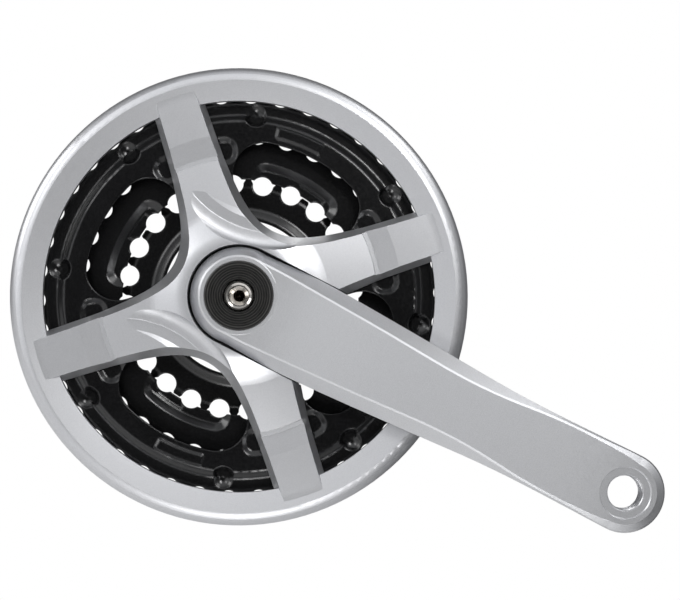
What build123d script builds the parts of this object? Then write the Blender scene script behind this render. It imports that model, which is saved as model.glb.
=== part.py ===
from build123d import *
import math
import os

# Right-hand bicycle crankset: crank arm, three riveted chainrings and a moulded chain guard.
# Frame, in mm: the origin is on the spindle axis at the middle chainring's mid-plane, +X runs
# along the arm to the pedal eye, -Y points outboard, away from the bicycle, and +Z is up.
# Heights below are distances outboard of the middle chainring, so a height h lies at Y = -h.

# ---------------------------------------------------------------- driving dimensions
crank_length = 175.0
chain_pitch = 12.7
plate_thickness = 2.1
roller_seat_radius = 3.92

large_teeth, middle_teeth, small_teeth = 42, 34, 24
large_height, middle_height, small_height = 8.0, 0.0, -8.0
large_phase, middle_phase, small_phase = 2.5, 5.1, 1.06

spoke_angles = (45.0, 135.0, 225.0, 315.0)
window_angles = (0.0, 90.0, 180.0, 270.0)

# Crank arm
boss_face_height = 24.0
boss_face_radius = 16.5
boss_base_radius = 20.2
boss_shoulder_height = 11.25
boss_wall_height = 19.3
spigot_radius = 15.5
boss_inner_height = -6.0
eye_radius = 16.3
eye_outer_height = 42.5
eye_inner_height = 30.0
face_edge = 0.5
underside_edge = 1.6
pedal_hole_radius = 7.1
pedal_hole_chamfer = 0.4
pedal_spotface_radius = 10.2
pedal_spotface_depth = 0.45
washer_seat_height = 14.0
puller_bore_radius = 11.0
cap_recess_radius = 14.45
cap_recess_depth = 1.0
taper_small_width = 12.6
taper_angle = 2.0
taper_corner = 1.6

# Crank bolt, its washer and the cap around it
bolt_head_radius = 6.4
bolt_head_height = 7.6
bolt_socket_width = 8.0
bolt_socket_depth = 4.4
bolt_socket_turn = 27.0
bolt_countersink_radius = 5.3
bolt_pilot_radius = 2.45
bolt_pilot_depth = 13.0
bolt_thread_radius = 4.0
bolt_thread_pitch = 1.0
bolt_thread_depth = 0.55
bolt_length = 20.0
bolt_seat_gap = 0.05
washer_radius = 10.2
washer_hole_radius = 4.3
washer_thickness = 1.5
cap_radius = 14.2
cap_hole_radius = 6.85
cap_thickness = 1.35
cap_skirt_outer, cap_skirt_inner = 10.3, 8.9
cap_skirt_depth = 6.0
cap_groove_pitch = 1.02
cap_groove_count = 5
cap_groove_outer = 11.9
cap_groove_depth = 0.35

# Large chainring
large_web_lift = 2.2
large_band_radius = 76.0
large_web_radius = 73.5
large_bend_radius = 1.6
large_window_radius = 65.3
large_window_outer_corner, large_window_inner_corner = 13.0, 5.0
large_hub_radius = 28.0
large_leg_half_width = 12.0
large_leg_angles = (43.5, 134.5, 223.0, 315.0)
dimple_angles = (18.3, 61.0, 111.9, 154.8, 198.3, 241.0, 291.9, 334.8)
dimple_radius = 4.7
dimple_reach = 76.5
dimple_depth = 2.6
dimple_rise = 0.9
dimple_pin_height = 1.6
panel_angles = (96.0, 276.0)
panel_inner_radius, panel_outer_radius = 66.9, 73.4
panel_half_angle = 9.0
panel_corner = 1.8
panel_lift = 0.8
panel_root = 0.4
panel_slope = 50
rivet_pad_inner_radius, rivet_pad_outer_radius = 55.4, 66.8
rivet_pad_half_angle = 17.0
rivet_pad_corner = 5.0
rivet_pad_slope = 58
rivet_pad_depth = 1.2

# Middle and small chainrings
middle_opening_radius = 49.9
scallop_radius = 4.4
scallop_reach = 47.5
tab_half_width = 6.5
tab_reach = 36.5
ramp_pocket_inner_radius, ramp_pocket_outer_radius = 42.0, 57.6
ramp_pocket_half_angle = 22.0
ramp_pocket_corner = 6.0
ramp_pocket_depth = 2.0
ramp_pocket_slope = 57
ramp_step_depth = 0.5
ramp_step_radius = 54.0
ramp_step_angles = (-14.5, -0.5)
small_opening_radius = 33.2
small_lift = 1.6
small_bend_inner, small_bend_outer = 34.8, 38.0
small_bend_radius = 2.8
small_tip = 2.6
small_seat_radius = 4.35

# Fasteners between the chainrings and the guard
outer_rivet_reach = 61.0
inner_rivet_reach = 41.4
screw_reach = 69.8
outer_rivet_hole, inner_rivet_hole = 2.3, 1.9
outer_rivet_shoulder, inner_rivet_shoulder = 3.5, 2.5
outer_rivet_head, inner_rivet_head = 3.4, 2.9
screw_head_radius = 3.1
screw_head_height = 2.2
screw_shank_radius = 1.75
screw_tip_height = 16.0
screw_boss_radius = 4.0
screw_clearance_hole = 2.2

# Chain guard
guard_radius = 95.0
guard_back = 12.5
guard_crest_radius = 89.8
guard_crest_height = 17.9
guard_inner_radius = 81.3
guard_hole_radius = 21.3
guard_draft = 27.0
guard_wall = 2.4
guard_hollow_depth = 2.4
scoop_centres = ((-18.6, 69.7), (-18.6, -69.7))
scoop_radius = 51.5

# ---------------------------------------------------------------- shared planes and shapes
# Local (x, y) of the section plane is (radius, height); it is revolved about the spindle axis.
section_plane = Plane(origin=(0, 0, 0), x_dir=(1, 0, 0), z_dir=(0, 0, -1))


def level(height, turn=0.0):
    """The plane parallel to the chainrings at a height, facing outboard, turned about the axis."""
    angle = math.radians(turn)
    return Plane(origin=(0, -height, 0), x_dir=(math.cos(angle), 0, math.sin(angle)), z_dir=(0, -1, 0))


def pitch_radius(teeth):
    """Radius of the chain's pitch circle on a chainring."""
    return chain_pitch / (2 * math.sin(math.pi / teeth))


def polar(radius, angle):
    """Sketch coordinates of a point at a radius and an angle in degrees."""
    turn = math.radians(angle)
    return radius * math.cos(turn), radius * math.sin(turn)


def draw_sector(inner, outer, start, end):
    """Draws the outline of a ring sector between two radii and two angles."""
    CenterArc((0, 0), outer, start, end - start)
    CenterArc((0, 0), inner, start, end - start)
    Line(polar(inner, start), polar(outer, start))
    Line(polar(inner, end), polar(outer, end))


def edge_points(face_half, side_half, face_height, facet_height, edge):
    """Two points that break the corner between a sloping facet and the flat face above it."""
    length = math.hypot(side_half - face_half, face_height - facet_height)
    outward = edge * (side_half - face_half) / length
    inward = edge * (face_height - facet_height) / length
    return (face_half + outward, face_height - inward), (face_half - edge, face_height)


def spoke_point(along, across):
    """Window coordinates of a point given along and across the spoke beside that window."""
    return (along - across) / math.sqrt(2), (along + across) / math.sqrt(2)


def rivet(reach, angle, low, high, neck_radius, shoulder_radius, head_radius):
    """Shouldered rivet through two plates: low and high are the plates' facing surfaces."""
    head_height = 1.1
    outer_face = high + plate_thickness
    inner_face = low - plate_thickness
    turn = math.radians(angle)
    centre = (reach * math.cos(turn), 0, reach * math.sin(turn))
    plane = Plane(origin=centre, x_dir=(1, 0, 0), z_dir=(0, 0, -1))
    with BuildPart() as body:
        with BuildSketch(plane):
            with BuildLine():
                Polyline(
                    (0, inner_face - head_height),
                    (head_radius - 1.0, inner_face - head_height),
                    (head_radius, inner_face - 0.4),
                    (head_radius, inner_face),
                    (neck_radius, inner_face),
                    (neck_radius, low),
                    (shoulder_radius, low),
                    (shoulder_radius, high),
                    (neck_radius, high),
                    (neck_radius, outer_face),
                    (head_radius, outer_face),
                    (head_radius, outer_face + 0.4),
                    (head_radius - 1.0, outer_face + head_height),
                    (0, outer_face + head_height),
                    close=True,
                )
            make_face()
        revolve(axis=Axis(centre, (0, 1, 0)))
    return body


def save(part, name):
    """Labels a finished piece and writes its STEP file."""
    part.label = name
    export_step(part, f"parts/{name}.step")


os.makedirs("parts", exist_ok=True)

# ---------------------------------------------------------------- crank arm
# Cross-sections of the arm: place along X, half-widths of the outer face and of the sides, heights
# of the outer face, of the side facets' lower edge and of the inboard face, and the broken edge.
arm_sections = (
    (0, 16.35, 20.05, boss_face_height, 19.0, 11.3, face_edge),
    (20, 16.1, 20.9, 24.5, 19.6, 11.9, face_edge),
    (38, 15.2, 20.7, 26.5, 21.2, 13.4, face_edge),
    (65, 13.8, 19.3, 30.0, 24.9, 17.2, face_edge),
    (98, 11.9, 17.3, 34.3, 29.9, 21.6, face_edge),
    (116, 12.4, 16.2, 36.7, 33.9, 24.0, face_edge),
    (132, 13.9, 15.8, 38.7, 37.2, 26.0, face_edge),
    (150, 14.7, 15.9, 40.8, 39.6, 28.2, face_edge),
    (162, 14.8, 16.1, 41.9, 40.5, 29.3, 0.8),
    (crank_length, 14.6, eye_radius, eye_outer_height, 40.3, eye_inner_height, 1.8),
)

with BuildPart() as crank_arm:
    for place, face_half, side_half, face_height, facet_height, inner_height, edge in arm_sections:
        with BuildSketch(Plane(origin=(place, 0, 0), x_dir=(0, 0, 1), z_dir=(1, 0, 0))):
            half_outline = [
                (side_half - underside_edge, inner_height),
                (side_half, inner_height + underside_edge),
                (side_half, facet_height),
                *edge_points(face_half, side_half, face_height, facet_height, edge),
            ]
            with BuildLine():
                Polyline(*half_outline, *[(-x, y) for x, y in reversed(half_outline)], close=True)
            make_face()
    loft()
    # Round end of the pedal eye, which carries the last section round the pedal's axis
    with BuildSketch(Plane(origin=(crank_length, 0, 0), x_dir=(0, 0, 1), z_dir=(1, 0, 0))):
        with BuildLine():
            Polyline((0, eye_inner_height), *half_outline, (0, eye_outer_height), close=True)
        make_face()
    revolve(axis=Axis((crank_length, 0, 0), (0, 1, 0)), revolution_arc=180)
    # Boss with its conical outside, the shoulder that the large chainring sits against, and the
    # spigot whose lip is swaged over the chainring's hub
    with BuildSketch(section_plane):
        with BuildLine():
            Polyline(
                (0, boss_inner_height),
                (spigot_radius - 1.0, boss_inner_height),
                (spigot_radius, boss_inner_height + 1.0),
                (spigot_radius, 6.6),
                (spigot_radius + 0.9, 7.4),
                (spigot_radius + 1.3, boss_shoulder_height - plate_thickness),
                (spigot_radius, boss_shoulder_height - plate_thickness),
                (spigot_radius, boss_shoulder_height),
                (boss_base_radius, boss_shoulder_height),
                (boss_base_radius, boss_wall_height),
                *edge_points(
                    boss_face_radius, boss_base_radius, boss_face_height, boss_wall_height, face_edge
                ),
                (0, boss_face_height),
                close=True,
            )
        make_face()
    revolve(axis=Axis.Y)
    # Bore for the cap and the puller's thread, down to the washer's seat
    with BuildSketch(section_plane):
        with BuildLine():
            Polyline(
                (0, washer_seat_height),
                (puller_bore_radius, washer_seat_height),
                (puller_bore_radius, boss_face_height - cap_recess_depth),
                (cap_recess_radius, boss_face_height - cap_recess_depth),
                (cap_recess_radius, boss_face_height + 4),
                (0, boss_face_height + 4),
                close=True,
            )
        make_face()
    revolve(axis=Axis.Y, mode=Mode.SUBTRACT)
    # Flat land around the cap, where the arm's face begins to rise
    with BuildSketch(level(boss_face_height)):
        Circle(boss_face_radius - face_edge)
        Circle(cap_recess_radius, mode=Mode.SUBTRACT)
    extrude(amount=3, mode=Mode.SUBTRACT)
    # Square taper for the spindle, wider inboard
    taper_depth = washer_seat_height - boss_inner_height
    taper_large_width = taper_small_width + 2 * taper_depth * math.tan(math.radians(taper_angle))
    with BuildSketch(level(washer_seat_height)):
        RectangleRounded(taper_small_width, taper_small_width, taper_corner)
    with BuildSketch(level(boss_inner_height)):
        RectangleRounded(taper_large_width, taper_large_width, taper_corner)
    loft(mode=Mode.SUBTRACT)
    # Threaded pedal hole with a chamfered mouth and a spot face at both ends
    with BuildSketch(Plane(origin=(crank_length, 0, 0), x_dir=(1, 0, 0), z_dir=(0, 0, -1))):
        with BuildLine():
            Polyline(
                (0, eye_inner_height - 1),
                (pedal_hole_radius, eye_inner_height - 1),
                (pedal_hole_radius, eye_outer_height + 1),
                (0, eye_outer_height + 1),
                close=True,
            )
        make_face()
        for face, outward in ((eye_outer_height, 1), (eye_inner_height, -1)):
            floor = face - outward * pedal_spotface_depth
            with BuildLine():
                Polyline(
                    (0, floor - outward * pedal_hole_chamfer),
                    (pedal_hole_radius, floor - outward * pedal_hole_chamfer),
                    (pedal_hole_radius + pedal_hole_chamfer, floor),
                    (pedal_spotface_radius, floor),
                    (pedal_spotface_radius + pedal_spotface_depth, face),
                    (pedal_spotface_radius + pedal_spotface_depth, face + outward),
                    (0, face + outward),
                    close=True,
                )
            make_face()
    revolve(axis=Axis((crank_length, 0, 0), (0, 1, 0)), mode=Mode.SUBTRACT)
save(crank_arm.part, "crank_arm")

# ---------------------------------------------------------------- crank bolt, washer and cap
washer_top = washer_seat_height + washer_thickness
with BuildPart() as bolt_washer:
    with BuildSketch(level(washer_seat_height)):
        Circle(washer_radius)
        Circle(washer_hole_radius, mode=Mode.SUBTRACT)
    extrude(amount=washer_thickness)
    chamfer(bolt_washer.edges().filter_by(GeomType.CIRCLE).sort_by(SortBy.RADIUS)[-2:], 0.25)
save(bolt_washer.part, "bolt_washer")

bolt_seat = washer_top + bolt_seat_gap
bolt_face = bolt_seat + bolt_head_height
bolt_end = bolt_seat - bolt_length
with BuildPart() as crank_bolt:
    with BuildSketch(section_plane):
        with BuildLine():
            Polyline(
                (0, bolt_end),
                (bolt_thread_radius - 0.9, bolt_end),
                (bolt_thread_radius, bolt_end + 0.9),
                (bolt_thread_radius, bolt_seat),
                (bolt_head_radius, bolt_seat),
                (bolt_head_radius, bolt_face - 0.9),
                (bolt_head_radius - 0.5, bolt_face),
                (0, bolt_face),
                close=True,
            )
        make_face()
    revolve(axis=Axis.Y)
    with BuildSketch(level(bolt_face)):
        RegularPolygon(bolt_socket_width / 2, 6, major_radius=False, rotation=bolt_socket_turn)
    extrude(amount=-bolt_socket_depth, mode=Mode.SUBTRACT)
    # Countersink that leads a hex key into the socket, and the drilled pilot hole below it
    socket_floor = bolt_face - bolt_socket_depth
    socket_half = bolt_socket_width / 2
    with BuildSketch(section_plane):
        with BuildLine():
            Polyline(
                (0, bolt_face - 0.7),
                (bolt_countersink_radius - 0.9, bolt_face - 0.7),
                (bolt_countersink_radius, bolt_face),
                (bolt_countersink_radius, bolt_face + 1),
                (0, bolt_face + 1),
                close=True,
            )
        make_face()
        with BuildLine():
            Polyline(
                (0, socket_floor + 0.1),
                (socket_half, socket_floor + 0.1),
                (socket_half, socket_floor),
                (bolt_pilot_radius, socket_floor - 1.0),
                (bolt_pilot_radius, bolt_face - bolt_pilot_depth),
                (0, bolt_face - bolt_pilot_depth - 1.4),
                close=True,
            )
        make_face()
    revolve(axis=Axis.Y, mode=Mode.SUBTRACT)
    # Thread, as rings one pitch apart
    thread_turns = int((bolt_length - 3.0) / bolt_thread_pitch)
    with BuildSketch(section_plane):
        for turn in range(thread_turns):
            root_height = bolt_end + 1.6 + turn * bolt_thread_pitch
            with BuildLine():
                Polyline(
                    (bolt_thread_radius - bolt_thread_depth, root_height),
                    (bolt_thread_radius + 0.1, root_height - 0.46),
                    (bolt_thread_radius + 0.1, root_height + 0.46),
                    close=True,
                )
            make_face()
    revolve(axis=Axis.Y, mode=Mode.SUBTRACT)
save(crank_bolt.part, "crank_bolt")

cap_seat = boss_face_height - cap_recess_depth
cap_top = cap_seat + cap_thickness
with BuildPart() as crank_cap:
    with BuildSketch(section_plane):
        with BuildLine():
            Polyline(
                (cap_hole_radius, cap_seat - 0.2),
                (cap_skirt_inner, cap_seat - 0.6),
                (cap_skirt_inner, cap_seat - cap_skirt_depth),
                (cap_skirt_outer - 0.6, cap_seat - cap_skirt_depth),
                (cap_skirt_outer, cap_seat - cap_skirt_depth + 0.8),
                (cap_skirt_outer, cap_seat),
                (cap_radius, cap_seat),
                (cap_radius, cap_top - 0.35),
                (cap_radius - 0.35, cap_top),
                (cap_hole_radius + 0.3, cap_top),
                (cap_hole_radius, cap_top - 0.3),
                close=True,
            )
        make_face()
    revolve(axis=Axis.Y)
    # Fine concentric grooves in the face
    with BuildSketch(section_plane):
        for ring in range(cap_groove_count):
            groove = cap_groove_outer - ring * cap_groove_pitch
            with BuildLine():
                Polyline(
                    (groove - 0.12, cap_top - cap_groove_depth),
                    (groove + 0.12, cap_top - cap_groove_depth),
                    (groove + 0.32, cap_top + 0.1),
                    (groove - 0.32, cap_top + 0.1),
                    close=True,
                )
            make_face()
    revolve(axis=Axis.Y, mode=Mode.SUBTRACT)
    # Slots that let the skirt spring into the bore
    with BuildSketch(level(cap_seat - cap_skirt_depth - 1)):
        with PolarLocations(cap_skirt_outer, 6, start_angle=15):
            Rectangle(4, 1.6)
    extrude(amount=cap_skirt_depth, mode=Mode.SUBTRACT)
save(crank_cap.part, "crank_cap")


# ---------------------------------------------------------------- chainrings
def toothed_disc(teeth, height, phase, section, tip, seat_radius, flank, bends=None):
    """Chainring blank: a revolved section whose rim is cut to teeth.

    flank is the side of the gap between two teeth. bends, when given, holds the inner and outer
    radius of the section's pressed bends, and the radius to which their corners are rounded.
    """
    reach = pitch_radius(teeth)
    with BuildPart() as disc:
        with BuildSketch(section_plane) as profile:
            with BuildLine():
                Polyline(*section, close=True)
            make_face()
            if bends:
                inner, outer, rounding = bends
                fillet(profile.vertices().filter_by_position(Axis.X, inner, outer), rounding)
        revolve(axis=Axis.Y)
        with BuildSketch(level(height - plate_thickness)):
            Circle(reach + tip + 2)
            Circle(reach + tip, mode=Mode.SUBTRACT)
            with PolarLocations(reach, teeth, start_angle=phase):
                Circle(seat_radius)
                Polygon(*flank, align=None)
        extrude(amount=2 * plate_thickness, mode=Mode.SUBTRACT)
    return disc


def rim(reach, height, tip, land):
    """Upper and lower points of a chainring's rim, thinned towards the tooth tips."""
    half = plate_thickness / 2
    upper = [(land, height + half), (reach + tip, height + 0.45)]
    lower = [(reach + tip, height - 0.45), (land, height - half)]
    return upper, lower


half_plate = plate_thickness / 2
tooth_flank = ((0.2, 3.95), (5.8, 5.3), (5.8, -5.3), (0.2, -3.95))
tooth_tip = 3.4

large_pitch = pitch_radius(large_teeth)
large_web_height = large_height + large_web_lift
upper_rim, lower_rim = rim(large_pitch, large_height, tooth_tip, large_pitch - 2.0)
large_section = [
    (spigot_radius, large_web_height + half_plate),
    (large_web_radius, large_web_height + half_plate),
    (large_band_radius, large_height + half_plate),
    *upper_rim,
    *lower_rim,
    (large_band_radius + 0.9, large_height - half_plate),
    (large_web_radius + 0.9, large_web_height - half_plate),
    (spigot_radius, large_web_height - half_plate),
]
large_disc = toothed_disc(
    large_teeth,
    large_height,
    large_phase,
    large_section,
    tooth_tip,
    roller_seat_radius,
    tooth_flank,
    (large_web_radius - 1, large_band_radius + 1, large_bend_radius),
)
with BuildPart() as large_chainring:
    add(large_disc.part)
    # Pressed pick-up bumps: a round hollow outboard and a blunt pin inboard
    with BuildSketch(level(large_height - half_plate - dimple_pin_height)):
        for angle in dimple_angles:
            with PolarLocations(dimple_reach, 1, start_angle=angle):
                Circle(dimple_radius - 1.0)
    extrude(amount=dimple_pin_height + 0.5, taper=-12)
    dimple_rim = large_height + half_plate + dimple_rise
    dimple_sphere = (dimple_radius**2 + dimple_depth**2) / (2 * dimple_depth)
    for angle in dimple_angles:
        turn = math.radians(angle)
        centre = (
            dimple_reach * math.cos(turn),
            -(dimple_rim - dimple_depth + dimple_sphere),
            dimple_reach * math.sin(turn),
        )
        with Locations(centre):
            Sphere(dimple_sphere, mode=Mode.SUBTRACT)
    # Pads pressed inboard around the rivets, with sloping walls
    for angle in spoke_angles:
        for face, grow, mode in ((-half_plate, -0.3, Mode.ADD), (half_plate, 0.0, Mode.SUBTRACT)):
            with BuildSketch(level(large_web_height + face, angle)) as pad:
                with BuildLine():
                    draw_sector(
                        rivet_pad_inner_radius - grow,
                        rivet_pad_outer_radius + grow,
                        -rivet_pad_half_angle - grow,
                        rivet_pad_half_angle + grow,
                    )
                make_face()
                fillet(pad.vertices(), rivet_pad_corner)
            extrude(amount=-rivet_pad_depth, taper=rivet_pad_slope, mode=mode)
    # Windows between the four legs
    with BuildSketch(level(large_height - 3)) as windows:
        Circle(large_window_radius)
        Circle(large_hub_radius, mode=Mode.SUBTRACT)
        for angle in large_leg_angles:
            with Locations(Location((0, 0), angle)):
                Rectangle(100, 2 * large_leg_half_width, align=(Align.MIN, Align.CENTER), mode=Mode.SUBTRACT)
        outer_corners = windows.vertices().filter_by(lambda v: v.distance_to(Vertex(0, 0, 0)) > 50)
        fillet(outer_corners, large_window_outer_corner)
        inner_corners = windows.vertices().filter_by(lambda v: v.distance_to(Vertex(0, 0, 0)) < 35)
        fillet(inner_corners, large_window_inner_corner)
    extrude(amount=8, mode=Mode.SUBTRACT)
    # Holes for the outer rivets and for the guard's screws
    with BuildSketch(level(large_height - 3)):
        with PolarLocations(outer_rivet_reach, 4, start_angle=spoke_angles[0]):
            Circle(outer_rivet_hole)
        with PolarLocations(screw_reach, 4, start_angle=spoke_angles[0]):
            Circle(screw_clearance_hole)
    extrude(amount=8, mode=Mode.SUBTRACT)
    # Stiffening panels pressed outboard in the web
    for angle in panel_angles:
        with BuildSketch(level(large_web_height + half_plate - panel_root, angle)) as panel:
            with BuildLine():
                draw_sector(panel_inner_radius, panel_outer_radius, -panel_half_angle, panel_half_angle)
            make_face()
            fillet(panel.vertices(), panel_corner)
        extrude(amount=panel_root + panel_lift, taper=panel_slope)
save(large_chainring.part, "large_chainring")

middle_pitch = pitch_radius(middle_teeth)
upper_rim, lower_rim = rim(middle_pitch, middle_height, tooth_tip, middle_pitch - 2.0)
middle_section = [
    (tab_reach - 1.0, middle_height + half_plate),
    *upper_rim,
    *lower_rim,
    (tab_reach - 1.0, middle_height - half_plate),
]
middle_disc = toothed_disc(
    middle_teeth, middle_height, middle_phase, middle_section, tooth_tip, roller_seat_radius, tooth_flank
)
with BuildPart() as middle_chainring:
    add(middle_disc.part)
    # Pockets pressed inboard, one facing each window, with a step half way that lifts the chain
    for angle in window_angles:
        for face, shrink, mode in ((-half_plate, 0.3, Mode.ADD), (half_plate, 0.0, Mode.SUBTRACT)):
            with BuildSketch(level(middle_height + face, angle)) as pocket:
                with BuildLine():
                    draw_sector(
                        ramp_pocket_inner_radius,
                        ramp_pocket_outer_radius - shrink,
                        -ramp_pocket_half_angle,
                        ramp_pocket_half_angle,
                    )
                make_face()
                fillet(pocket.vertices(), ramp_pocket_corner)
            extrude(amount=-ramp_pocket_depth, taper=ramp_pocket_slope, mode=mode)
        with BuildSketch(level(middle_height + half_plate - ramp_pocket_depth, angle)):
            with BuildLine():
                draw_sector(ramp_pocket_inner_radius, ramp_step_radius, *ramp_step_angles)
            make_face()
        extrude(amount=-ramp_step_depth, taper=ramp_pocket_slope, mode=Mode.SUBTRACT)
    # Scalloped opening that leaves room for a chain on the small chainring, with four tabs
    with BuildSketch(level(middle_height - 5)):
        Circle(middle_opening_radius)
        with PolarLocations(scallop_reach, small_teeth, start_angle=small_phase):
            Circle(scallop_radius)
        for angle in spoke_angles:
            with Locations(Location((0, 0), angle)):
                with Locations((tab_reach + tab_half_width, 0)):
                    Circle(tab_half_width, mode=Mode.SUBTRACT)
                    Rectangle(30, 2 * tab_half_width, align=(Align.MIN, Align.CENTER), mode=Mode.SUBTRACT)
    extrude(amount=10, mode=Mode.SUBTRACT)
    with BuildSketch(level(middle_height - 5)):
        with PolarLocations(outer_rivet_reach, 4, start_angle=spoke_angles[0]):
            Circle(outer_rivet_hole)
        with PolarLocations(inner_rivet_reach, 4, start_angle=spoke_angles[0]):
            Circle(inner_rivet_hole)
    extrude(amount=10, mode=Mode.SUBTRACT)
save(middle_chainring.part, "middle_chainring")

small_pitch = pitch_radius(small_teeth)
upper_rim, lower_rim = rim(small_pitch, small_height, small_tip, small_pitch - 2.0)
small_section = [
    (small_opening_radius, small_height + half_plate + small_lift),
    (small_bend_inner, small_height + half_plate + small_lift),
    (small_bend_outer, small_height + half_plate),
    *upper_rim,
    *lower_rim,
    (small_bend_outer - 0.4, small_height - half_plate),
    (small_bend_inner - 0.4, small_height - half_plate + small_lift),
    (small_opening_radius, small_height - half_plate + small_lift),
]
small_flank = ((0, 4.3), (2.6, 6.2), (6, 6.2), (6, -6.2), (2.6, -6.2), (0, -4.3))
small_disc = toothed_disc(
    small_teeth,
    small_height,
    small_phase,
    small_section,
    small_tip,
    small_seat_radius,
    small_flank,
    (small_bend_inner - 1, small_bend_outer + 1, small_bend_radius),
)
with BuildPart() as small_chainring:
    add(small_disc.part)
    # One tooth in six is cut lower, to let the chain drop
    with BuildSketch(level(small_height - 3)):
        with PolarLocations(small_pitch + 1.2, 4, start_angle=small_phase + 82.5):
            Rectangle(5, 6, align=(Align.MIN, Align.CENTER))
        with PolarLocations(inner_rivet_reach, 4, start_angle=spoke_angles[0]):
            Circle(inner_rivet_hole)
    extrude(amount=6, mode=Mode.SUBTRACT)
save(small_chainring.part, "small_chainring")

# ---------------------------------------------------------------- rivets and screws
rivet_pad_underside = large_web_height - half_plate - rivet_pad_depth
for index, angle in enumerate(spoke_angles, start=1):
    outer_rivet = rivet(
        outer_rivet_reach,
        angle,
        middle_height + half_plate,
        rivet_pad_underside,
        outer_rivet_hole,
        outer_rivet_shoulder,
        outer_rivet_head,
    )
    save(outer_rivet.part, f"outer_ring_rivet_{index}")
    inner_rivet = rivet(
        inner_rivet_reach,
        angle,
        small_height + half_plate,
        middle_height - half_plate,
        inner_rivet_hole,
        inner_rivet_shoulder,
        inner_rivet_head,
    )
    save(inner_rivet.part, f"inner_ring_rivet_{index}")

screw_seat = large_web_height - half_plate
for index, angle in enumerate(spoke_angles, start=1):
    turn = math.radians(angle)
    centre = (screw_reach * math.cos(turn), 0, screw_reach * math.sin(turn))
    with BuildPart() as guard_screw:
        with BuildSketch(Plane(origin=centre, x_dir=(1, 0, 0), z_dir=(0, 0, -1))):
            with BuildLine():
                Polyline(
                    (0, screw_seat - screw_head_height),
                    (screw_head_radius - 1.0, screw_seat - screw_head_height),
                    (screw_head_radius, screw_seat - 0.8),
                    (screw_head_radius, screw_seat),
                    (screw_shank_radius, screw_seat),
                    (screw_shank_radius, screw_tip_height - 0.8),
                    (screw_shank_radius - 0.8, screw_tip_height),
                    (0, screw_tip_height),
                    close=True,
                )
            make_face()
        revolve(axis=Axis(centre, (0, 1, 0)))
        # Cross recess
        with BuildSketch(Plane.XZ.offset(screw_seat - screw_head_height)):
            with Locations(Location((centre[0], centre[2]), angle)):
                Rectangle(3.6, 0.8)
                Rectangle(0.8, 3.6)
        extrude(amount=1.4, mode=Mode.SUBTRACT)
    save(guard_screw.part, f"guard_screw_{index}")


# ---------------------------------------------------------------- chain guard
def draw_window(grow):
    """Draws a guard window about +Y of the sketch, enlarged by grow on every side."""
    side_far = spoke_point(120.0, 10.0 - grow)
    side_near = spoke_point(60.0, 11.4 - grow)
    # Places on the window's inner end, with the direction in which that side grows
    inner_end = ((26.8, 44.0, 40.0), (17.4, 36.8, 33.0), (8.6, 32.1, 20.0), (0.0, 30.5, 0.0))
    right = [side_near]
    for across, out, turn in inner_end:
        slope = math.radians(turn)
        right.append((across + grow * math.sin(slope), out - grow * math.cos(slope)))
    left = [(-x, y) for x, y in reversed(right[:-1])]
    fall = (side_near[0] - side_far[0], side_near[1] - side_far[1])
    Line(side_far, side_near)
    Spline(*right, *left, tangents=(fall, (fall[0], -fall[1])))
    Line(left[-1], (-side_far[0], side_far[1]))
    Line((-side_far[0], side_far[1]), side_far)


def window_cutter(angle):
    """Drafted plug that opens one window of the guard from back to front."""
    draft = math.tan(math.radians(guard_draft))
    with BuildPart() as cutter:
        for height in (guard_back - 2.0, guard_back + 13.5):
            with BuildSketch(level(height, angle - 90.0)):
                with BuildLine():
                    draw_window((height - guard_back) * draft)
                make_face()
        loft(ruled=True)
    return cutter.part


window_cutters = [window_cutter(angle) for angle in window_angles]

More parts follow.
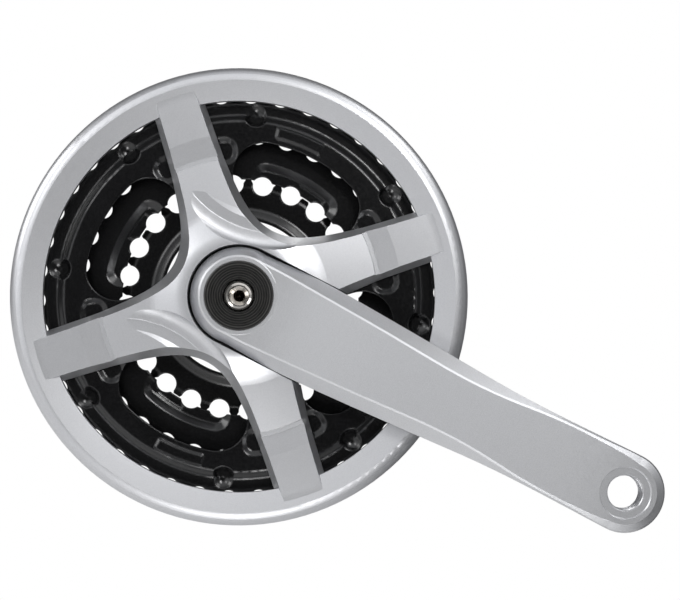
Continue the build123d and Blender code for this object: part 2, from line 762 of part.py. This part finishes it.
with BuildPart() as chain_guard:
    # Star: hub and four spokes in one domed plate
    with BuildSketch(section_plane):
        with BuildLine():
            Line((guard_hole_radius - 1, guard_back), (90.5, guard_back))
            Line((90.5, guard_back), (90.5, 17.7))
            Line((90.5, 17.7), (89.2, 17.72))
            Spline((89.2, 17.72), (87.0, 17.38), (84.5, 17.3), tangents=((-1, -0.2), (-1, 0)))
            Polyline(
                (84.5, 17.3),
                (67.4, 17.3),
                (58.9, 16.7),
                (58.8, 17.25),
                (57.2, 17.3),
                (57.0, 17.85),
                (37.0, 19.3),
            )
            Spline((37.0, 19.3), (29.4, 20.9), (22.6, 22.1), tangents=((-1, 0.08), (-1, 0.02)))
            Line((22.6, 22.1), (guard_hole_radius - 1, 22.1))
            Line((guard_hole_radius - 1, 22.1), (guard_hole_radius - 1, guard_back))
        make_face()
    revolve(axis=Axis.Y)
    add(window_cutters, mode=Mode.SUBTRACT)
    # Scoops where the two spokes away from the arm run down from the raised collar
    for centre in scoop_centres:
        with BuildSketch(Plane(origin=(centre[0], 0, centre[1]), x_dir=(1, 0, 0), z_dir=(0, 0, -1))):
            with BuildLine():
                Spline(
                    (scoop_radius, 21.8),
                    (scoop_radius - 1.2, 19.9),
                    (scoop_radius - 3.2, 19.0),
                    (scoop_radius - 7.0, 18.65),
                    (scoop_radius - 11.5, 18.7),
                    tangents=((-0.4, -1), (-1, 0.05)),
                )
                Polyline(
                    (scoop_radius - 11.5, 18.7),
                    (scoop_radius - 14.5, 19.5),
                    (scoop_radius - 14.5, 24.0),
                    (scoop_radius, 24.0),
                    (scoop_radius, 21.8),
                )
            make_face()
        revolve(axis=Axis((centre[0], 0, centre[1]), (0, 1, 0)), mode=Mode.SUBTRACT)
    # Rim: dished inside the crest, two bevels outside it
    with BuildSketch(section_plane):
        with BuildLine():
            Polyline(
                (guard_inner_radius, guard_back),
                (guard_inner_radius, 16.3),
                (guard_crest_radius, guard_crest_height),
            )
            ThreePointArc((guard_crest_radius, guard_crest_height), (91.2, 17.78), (92.4, 17.42))
            ThreePointArc((92.4, 17.42), (93.8, 16.55), (guard_radius, 15.2))
            Polyline((guard_radius, 15.2), (guard_radius, guard_back), (guard_inner_radius, guard_back))
        make_face()
    revolve(axis=Axis.Y)
    # Hole around the crank's boss, open towards the arm
    with BuildSketch(level(guard_back - 1)):
        Circle(guard_hole_radius)
        Rectangle(60, 2 * guard_hole_radius, align=(Align.MIN, Align.CENTER))
    extrude(amount=14, mode=Mode.SUBTRACT)
    # Screw bosses that stand on the large chainring
    with BuildSketch(level(boss_shoulder_height)):
        with PolarLocations(screw_reach, 4, start_angle=spoke_angles[0]):
            Circle(screw_boss_radius)
    extrude(amount=guard_back - boss_shoulder_height + 0.5)
    with BuildSketch(level(boss_shoulder_height)):
        with PolarLocations(screw_reach, 4, start_angle=spoke_angles[0]):
            Circle(screw_shank_radius)
    extrude(amount=screw_tip_height - boss_shoulder_height, mode=Mode.SUBTRACT)
    # Hollows in the back that keep the walls thin
    with BuildSketch(level(guard_back)):
        with PolarLocations(50.0, 4, start_angle=spoke_angles[0]):
            SlotCenterToCenter(15, 13)
        with PolarLocations(78.6, 4, start_angle=spoke_angles[0]):
            Circle(2.6)
    extrude(amount=guard_hollow_depth, mode=Mode.SUBTRACT)
    with BuildSketch(level(guard_back)):
        Circle(guard_radius - guard_wall)
        Circle(guard_inner_radius + guard_wall, mode=Mode.SUBTRACT)
        with PolarLocations(88.4, 24, start_angle=7.5):
            Rectangle(10, 1.5, mode=Mode.SUBTRACT)
    extrude(amount=guard_hollow_depth, mode=Mode.SUBTRACT)
save(chain_guard.part, "chain_guard")
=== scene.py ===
import bpy
import math
from mathutils import Matrix, Vector


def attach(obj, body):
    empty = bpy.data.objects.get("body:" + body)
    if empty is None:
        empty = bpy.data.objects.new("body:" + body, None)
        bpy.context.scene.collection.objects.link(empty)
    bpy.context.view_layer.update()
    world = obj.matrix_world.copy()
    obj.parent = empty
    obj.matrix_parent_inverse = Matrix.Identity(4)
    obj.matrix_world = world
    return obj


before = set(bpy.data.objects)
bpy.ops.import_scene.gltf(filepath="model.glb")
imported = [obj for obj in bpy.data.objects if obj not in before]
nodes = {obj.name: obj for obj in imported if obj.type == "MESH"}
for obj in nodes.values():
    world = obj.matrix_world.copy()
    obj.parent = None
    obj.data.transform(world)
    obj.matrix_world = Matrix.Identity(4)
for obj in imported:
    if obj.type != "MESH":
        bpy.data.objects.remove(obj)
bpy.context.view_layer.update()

MM = 0.001

# Places on the CAD model that its finishes follow, in mm
CAP_GROOVE_OUTER, CAP_GROOVE_PITCH = 11.9, 1.02
# Places along Y between which painted shade darkens the bolt's hex socket, from bright plate to full
# shade
SOCKET_SHADE_START, SOCKET_SHADE_FULL = -18.6, -16.2

# Internal threads, in mm: name, place along the arm, radii of the wall and of the crest, pitch, and
# the heights between which the thread runs
THREADS = (
    ("pedal_thread_ridge", 175.0, 7.14, 6.75, 1.27, 30.85, 41.65),
    ("puller_thread_ridge", 0.0, 11.04, 10.5, 1.0, 16.6, 22.9),
)
THREAD_STEPS = 72  # points in one turn
THREAD_FOOT = 0.48  # half the width of a thread's foot, in pitches

# ---------------------------------------------------------------- the view and the studio
# The crankset is seen nearly square to its chainrings, with the arm pointing down to the right.
ARM_TILT = math.radians(27.06)
VIEW_RIGHT = Vector((math.cos(ARM_TILT), 0, math.sin(ARM_TILT)))
VIEW_UP = Vector((-math.sin(ARM_TILT), 0, math.cos(ARM_TILT)))
TO_CAMERA = Vector((0, -1, 0))

CAMERA_PLACE = Vector((32.4, -800.0, -5.7)) * MM
CAMERA_TARGET = Vector((38.05, 0.0, 18.05)) * MM
LENS, SENSOR = 100.0, 36.0
CLIP_NEAR, CLIP_FAR = 0.01, 20.0

# Floor and light: lengths in metres
FLOOR_HALF_SIDE = 1.1
FLOOR_HEIGHT = -0.6
FLOOR_GREY = 0.9
FLOOR_GLOW = 0.15
LIGHT_TINT = (0.97, 0.98, 1.0)
LIT_CENTRE = Vector((30.0, 0.0, 0.0)) * MM

# The lit surround, as patches whose brightnesses multiply. Each row gives a direction, as place round
# the picture and lean from the camera's axis, then two angles off that direction, and the brightness
# inside the first angle and beyond the second. Angles are in degrees.
SURROUND = (
    (0, 0, 6, 27, 0.06, 0.92),
    (0, 0, 45, 95, 1.0, 0.10),
    (333, 38, 8, 62, 0.10, 1.0),
)
# Square softboxes one metre away from LIT_CENTRE: name, place round the picture and lean from the
# camera's axis in degrees, side in metres and power in watts
SOFTBOXES = (
    ("upper_right_near", 50, 27, 0.24, 1.9),
    ("upper_right_far", 50, 66, 0.45, 1.4),
    ("upper_left_near", 145, 36, 0.24, 0.6),
    ("upper_left_far", 152, 74, 0.45, 2.0),
    ("low_near", 266, 28, 0.24, 1.5),
    ("low_far", 270, 62, 0.45, 0.4),
    ("behind_high", 90, 142, 0.45, 2.6),
    ("behind_low", 240, 148, 0.45, 1.6),
)


def make_camera():
    """Camera at the photograph's viewing angle, rolled so that the arm slopes down."""
    back = (CAMERA_PLACE - CAMERA_TARGET).normalized()
    right = VIEW_UP.cross(back).normalized()
    up = back.cross(right)
    turn = Matrix((right, up, back)).transposed()
    data = bpy.data.cameras.new("camera")
    data.lens = LENS
    data.sensor_width = SENSOR
    data.clip_start = CLIP_NEAR
    data.clip_end = CLIP_FAR
    camera = bpy.data.objects.new("camera", data)
    camera.matrix_world = Matrix.Translation(CAMERA_PLACE) @ turn.to_4x4()
    bpy.context.scene.collection.objects.link(camera)
    bpy.context.scene.camera = camera


def view_direction(clock, lean):
    """Unit vector at an angle round the picture, leaning that far away from the camera's axis."""
    side = VIEW_RIGHT * math.cos(math.radians(clock)) + VIEW_UP * math.sin(math.radians(clock))
    return TO_CAMERA * math.cos(math.radians(lean)) + side * math.sin(math.radians(lean))


def softbox(name, clock, lean, side, power):
    """Square area light one metre away from the lit centre, facing it."""
    direction = view_direction(clock, lean)
    data = bpy.data.lights.new(name, "AREA")
    data.size = side
    data.energy = power
    light = bpy.data.objects.new(name, data)
    light.location = LIT_CENTRE + direction
    light.rotation_mode = "QUATERNION"
    light.rotation_quaternion = direction.to_track_quat("Z", "Y")
    bpy.context.scene.collection.objects.link(light)


def make_world():
    """White surround for the camera, and a shaped grey one that lights the crankset."""
    world = bpy.data.worlds.new("studio")
    bpy.context.scene.world = world
    world.use_nodes = True
    tree = world.node_tree
    tree.nodes.clear()
    place = tree.nodes.new("ShaderNodeTexCoord").outputs["Generated"]

    strength = None
    for clock, lean, start, end, inside, beyond in SURROUND:
        along = tree.nodes.new("ShaderNodeVectorMath")
        along.operation = "DOT_PRODUCT"
        along.inputs[1].default_value = view_direction(clock, lean)
        tree.links.new(place, along.inputs[0])
        span = tree.nodes.new("ShaderNodeMapRange")
        span.interpolation_type = "SMOOTHSTEP"
        span.inputs["From Min"].default_value = math.cos(math.radians(end))
        span.inputs["From Max"].default_value = math.cos(math.radians(start))
        span.inputs["To Min"].default_value = beyond
        span.inputs["To Max"].default_value = inside
        tree.links.new(along.outputs["Value"], span.inputs["Value"])
        if strength is None:
            strength = span.outputs["Result"]
            continue
        product = tree.nodes.new("ShaderNodeMath")
        product.operation = "MULTIPLY"
        tree.links.new(span.outputs["Result"], product.inputs[0])
        tree.links.new(strength, product.inputs[1])
        strength = product.outputs["Value"]

    seen = tree.nodes.new("ShaderNodeBackground")
    seen.inputs["Color"].default_value = (1, 1, 1, 1)
    lit = tree.nodes.new("ShaderNodeBackground")
    lit.inputs["Color"].default_value = (*LIGHT_TINT, 1)
    tree.links.new(strength, lit.inputs["Strength"])
    path = tree.nodes.new("ShaderNodeLightPath")
    mix = tree.nodes.new("ShaderNodeMixShader")
    tree.links.new(path.outputs["Is Camera Ray"], mix.inputs["Fac"])
    tree.links.new(lit.outputs["Background"], mix.inputs[1])
    tree.links.new(seen.outputs["Background"], mix.inputs[2])
    output = tree.nodes.new("ShaderNodeOutputWorld")
    tree.links.new(mix.outputs["Shader"], output.inputs["Surface"])


def make_floor():
    """Pale, faintly glowing floor below the crankset, which lies under the photograph's view."""
    mesh = bpy.data.meshes.new("floor")
    signs = ((-1, -1), (1, -1), (1, 1), (-1, 1))
    corners = [(x * FLOOR_HALF_SIDE, y * FLOOR_HALF_SIDE, FLOOR_HEIGHT) for x, y in signs]
    mesh.from_pydata(corners, [], [(0, 1, 2, 3)])
    floor = bpy.data.objects.new("floor", mesh)
    bpy.context.scene.collection.objects.link(floor)
    paper = bpy.data.materials.new("floor_paper")
    paper.use_nodes = True
    shader = paper.node_tree.nodes["Principled BSDF"]
    shader.inputs["Base Color"].default_value = (FLOOR_GREY, FLOOR_GREY, FLOOR_GREY, 1)
    shader.inputs["Roughness"].default_value = 0.9
    shader.inputs["Emission Color"].default_value = (1, 1, 1, 1)
    shader.inputs["Emission Strength"].default_value = FLOOR_GLOW
    mesh.materials.append(paper)


# ---------------------------------------------------------------- materials
class Finish:
    """A Principled material and short ways to feed its sockets from textures."""

    def __init__(self, name, sockets):
        self.material = bpy.data.materials.new(name)
        self.material.use_nodes = True
        self.tree = self.material.node_tree
        self.shader = self.tree.nodes["Principled BSDF"]
        for socket, value in sockets.items():
            self.shader.inputs[socket].default_value = value
        self.place = self.tree.nodes.new("ShaderNodeTexCoord").outputs["Object"]

    def link(self, source, target):
        self.tree.links.new(source, target)

    def noise(self, size, detail=2.0, stretch=(1, 1, 1)):
        """Noise whose lumps are about size metres across."""
        scaled = self.tree.nodes.new("ShaderNodeMapping")
        scaled.inputs["Scale"].default_value = [1.0 / (size * factor) for factor in stretch]
        self.link(self.place, scaled.inputs["Vector"])
        texture = self.tree.nodes.new("ShaderNodeTexNoise")
        texture.inputs["Scale"].default_value = 1.0
        texture.inputs["Detail"].default_value = detail
        self.link(scaled.outputs["Vector"], texture.inputs["Vector"])
        return texture.outputs["Fac"]

    def flakes(self, size):
        """Random grey for each cell, size metres across."""
        texture = self.tree.nodes.new("ShaderNodeTexVoronoi")
        texture.inputs["Scale"].default_value = 1.0 / size
        self.link(self.place, texture.inputs["Vector"])
        grey = self.tree.nodes.new("ShaderNodeRGBToBW")
        self.link(texture.outputs["Color"], grey.inputs["Color"])
        return grey.outputs["Val"]

    def rings(self, radius, pitch):
        """Distance from the nearest of the rings round the Y axis, in pitches: 0 on a ring."""
        flat = self.tree.nodes.new("ShaderNodeVectorMath")
        flat.operation = "MULTIPLY"
        flat.inputs[1].default_value = (1, 0, 1)
        self.link(self.place, flat.inputs[0])
        reach = self.tree.nodes.new("ShaderNodeVectorMath")
        reach.operation = "LENGTH"
        self.link(flat.outputs["Vector"], reach.inputs[0])
        wave = self.tree.nodes.new("ShaderNodeMath")
        wave.operation = "PINGPONG"
        wave.inputs[1].default_value = 0.5
        turns = self.tree.nodes.new("ShaderNodeMapRange")
        turns.clamp = False
        turns.inputs["From Min"].default_value = radius
        turns.inputs["From Max"].default_value = radius + pitch
        self.link(reach.outputs["Value"], turns.inputs["Value"])
        self.link(turns.outputs["Result"], wave.inputs[0])
        return wave.outputs["Value"]

    def along_y(self, start, end):
        """Number that runs from 0 to 1 between two places along the Y axis."""
        parts = self.tree.nodes.new("ShaderNodeSeparateXYZ")
        self.link(self.place, parts.inputs["Vector"])
        return self.span(parts.outputs["Y"], 0.0, 1.0, start, end)

    def ramp(self, source, low, high, start=0.0, end=1.0):
        """Colour that runs from low to high as the source goes from start to end."""
        node = self.tree.nodes.new("ShaderNodeValToRGB")
        node.color_ramp.elements[0].position = start
        node.color_ramp.elements[0].color = (*low, 1)
        node.color_ramp.elements[1].position = end
        node.color_ramp.elements[1].color = (*high, 1)
        self.link(source, node.inputs["Fac"])
        return node.outputs["Color"]

    def span(self, source, low, high, start=0.3, end=0.7):
        """Number that runs from low to high as the source goes from start to end."""
        node = self.tree.nodes.new("ShaderNodeMapRange")
        node.inputs["From Min"].default_value = start
        node.inputs["From Max"].default_value = end
        node.inputs["To Min"].default_value = low
        node.inputs["To Max"].default_value = high
        self.link(source, node.inputs["Value"])
        return node.outputs["Result"]

    def bump(self, *layers, rounding=0.0):
        """Stacks bump layers, each a (source, height) pair, over edges softened by a rounding.

        Heights and the rounding's radius are in metres.
        """
        normal = None
        if rounding:
            softened = self.tree.nodes.new("ShaderNodeBevel")
            softened.samples = 4
            softened.inputs["Radius"].default_value = rounding
            normal = softened.outputs["Normal"]
        for source, height in layers:
            node = self.tree.nodes.new("ShaderNodeBump")
            node.inputs["Strength"].default_value = 1.0
            node.inputs["Distance"].default_value = height
            self.link(source, node.inputs["Height"])
            if normal:
                self.link(normal, node.inputs["Normal"])
            normal = node.outputs["Normal"]
        self.link(normal, self.shader.inputs["Normal"])

    def feed(self, socket, source):
        self.link(source, self.shader.inputs[socket])


def silver_paint(name, low, high):
    """Metallic silver paint: fine aluminium flakes under a thin clear coat with orange peel."""
    paint = Finish(name, {"Metallic": 0.88, "Coat Weight": 0.35, "Coat Roughness": 0.16})
    flakes = paint.flakes(0.12 * MM)
    paint.feed("Base Color", paint.ramp(flakes, low, high))
    paint.feed("Roughness", paint.span(paint.noise(0.5 * MM), 0.34, 0.39))
    paint.bump((paint.noise(1.4 * MM), 0.0025 * MM), (flakes, 0.0008 * MM), rounding=0.15 * MM)
    return paint.material


def black_coat(name, rough_low, rough_high):
    """Glossy black electro-coat over steel, with a faint orange peel."""
    coat = Finish(name, {"Specular IOR Level": 0.8})
    cloud = coat.noise(14 * MM, 3.0)
    coat.feed(
        "Base Color", coat.ramp(cloud, (0.0015, 0.0015, 0.0018), (0.0035, 0.0035, 0.004), 0.3, 0.7)
    )
    coat.feed("Roughness", coat.span(coat.noise(1.0 * MM), rough_low, rough_high))
    peel, grit = coat.noise(2.2 * MM), coat.noise(0.3 * MM)
    coat.bump((peel, 0.004 * MM), (grit, 0.0008 * MM), rounding=0.9 * MM)
    return coat.material


def plated(name, low, high, rough_low, rough_high):
    """Plated or bare metal with fine brushing."""
    metal = Finish(name, {"Metallic": 1.0})
    grain = metal.noise(0.25 * MM, 4.0, (6, 1, 1))
    metal.feed("Base Color", metal.ramp(grain, low, high, 0.3, 0.7))
    metal.feed("Roughness", metal.span(grain, rough_low, rough_high))
    metal.bump((grain, 0.0015 * MM))
    return metal.material


def moulded_plastic(name):
    """Satin black plastic with a fine moulded texture, paler along the turned grooves."""
    plastic = Finish(name, {"Specular IOR Level": 0.35})
    grain = plastic.noise(0.25 * MM, 2.0)
    rings = plastic.rings(CAP_GROOVE_OUTER * MM, CAP_GROOVE_PITCH * MM)
    groove = plastic.ramp(rings, (0.060, 0.058, 0.054), (0.006, 0.006, 0.006), 0.08, 0.24)
    plastic.feed("Base Color", groove)
    plastic.feed("Roughness", plastic.span(plastic.noise(2 * MM), 0.30, 0.42))
    plastic.bump((grain, 0.002 * MM))
    return plastic.material


def socket_steel(name):
    """Bright nickel plate, with painted shade that darkens it down the hex socket and the drilled
    hole below it.
    """
    metal = Finish(name, {"Metallic": 1.0})
    grain = metal.noise(0.25 * MM, 4.0, (6, 1, 1))
    # Painted shade: the plate's colour runs to dark down the socket and the hole below it
    socket_shade = metal.along_y(SOCKET_SHADE_START * MM, SOCKET_SHADE_FULL * MM)
    metal.feed("Base Color", metal.ramp(socket_shade, (0.80, 0.77, 0.73), (0.16, 0.15, 0.14), 0.0, 1.0))
    metal.feed("Roughness", metal.span(grain, 0.10, 0.20))
    metal.bump((grain, 0.0010 * MM))
    return metal.material


finishes = {
    "silver_paint_metal": silver_paint(
        "silver_paint_metal", (0.58, 0.585, 0.60), (0.76, 0.765, 0.785)
    ),
    "silver_paint_plastic": silver_paint(
        "silver_paint_plastic", (0.57, 0.575, 0.595), (0.74, 0.745, 0.765)
    ),
    "black_ring_coat": black_coat("black_ring_coat", 0.15, 0.21),
    "black_rivet_coat": black_coat("black_rivet_coat", 0.18, 0.24),
    "zinc_screw": plated("zinc_screw", (0.45, 0.46, 0.48), (0.66, 0.67, 0.70), 0.22, 0.36),
    "zinc_steel": plated("zinc_steel", (0.48, 0.49, 0.50), (0.68, 0.69, 0.71), 0.25, 0.40),
    "nickel_steel": socket_steel("nickel_steel"),
    "black_plastic": moulded_plastic("black_plastic"),
}


def finish_of(node):
    """Material slot of a CAD node, by what the node is."""
    named = {
        "crank_arm": "silver_paint_metal",
        "chain_guard": "silver_paint_plastic",
        "bolt_washer": "zinc_steel",
        "crank_bolt": "nickel_steel",
        "crank_cap": "black_plastic",
    }
    if node in named:
        return named[node]
    if node.endswith("chainring"):
        return "black_ring_coat"
    if "rivet" in node:
        return "black_rivet_coat"
    return "zinc_screw"


for name, item in nodes.items():
    for slot in item.material_slots:
        slot.material = finishes[finish_of(name)]


# ---------------------------------------------------------------- internal threads
def thread_ridge(name, centre, wall, crest, pitch, low, high):
    """Helical ridge of triangular section inside a bore, fading out over its first and last turns."""
    turns = (high - low - pitch) / pitch
    total = int(turns * THREAD_STEPS)
    points = []
    faces = []
    for step in range(total + 1):
        angle = 2 * math.pi * step / THREAD_STEPS
        height = low + pitch / 2 + pitch * step / THREAD_STEPS
        fade = min(1.0, step / THREAD_STEPS, (total - step) / THREAD_STEPS)
        top = wall - (wall - crest) * fade
        for radius, rise in ((wall, -THREAD_FOOT), (top, 0.0), (wall, THREAD_FOOT)):
            x = centre * MM + radius * MM * math.cos(angle)
            y = -(height + rise * pitch) * MM
            z = radius * MM * math.sin(angle)
            points.append((x, y, z))
        if step:
            after = 3 * step
            before = after - 3
            for corner in range(3):
                following = (corner + 1) % 3
                faces.append((before + corner, before + following, after + following, after + corner))
    mesh = bpy.data.meshes.new(name)
    mesh.from_pydata(points, [], faces)
    mesh.update()
    mesh.materials.append(finishes["silver_paint_metal"])
    ridge = bpy.data.objects.new(name, mesh)
    bpy.context.scene.collection.objects.link(ridge)
    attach(ridge, "crankset")


# ---------------------------------------------------------------- put together
for thread in THREADS:
    thread_ridge(*thread)
make_camera()
make_world()
make_floor()
for box in SOFTBOXES:
    softbox(*box)
bpy.context.scene.view_settings.view_transform = "Standard"
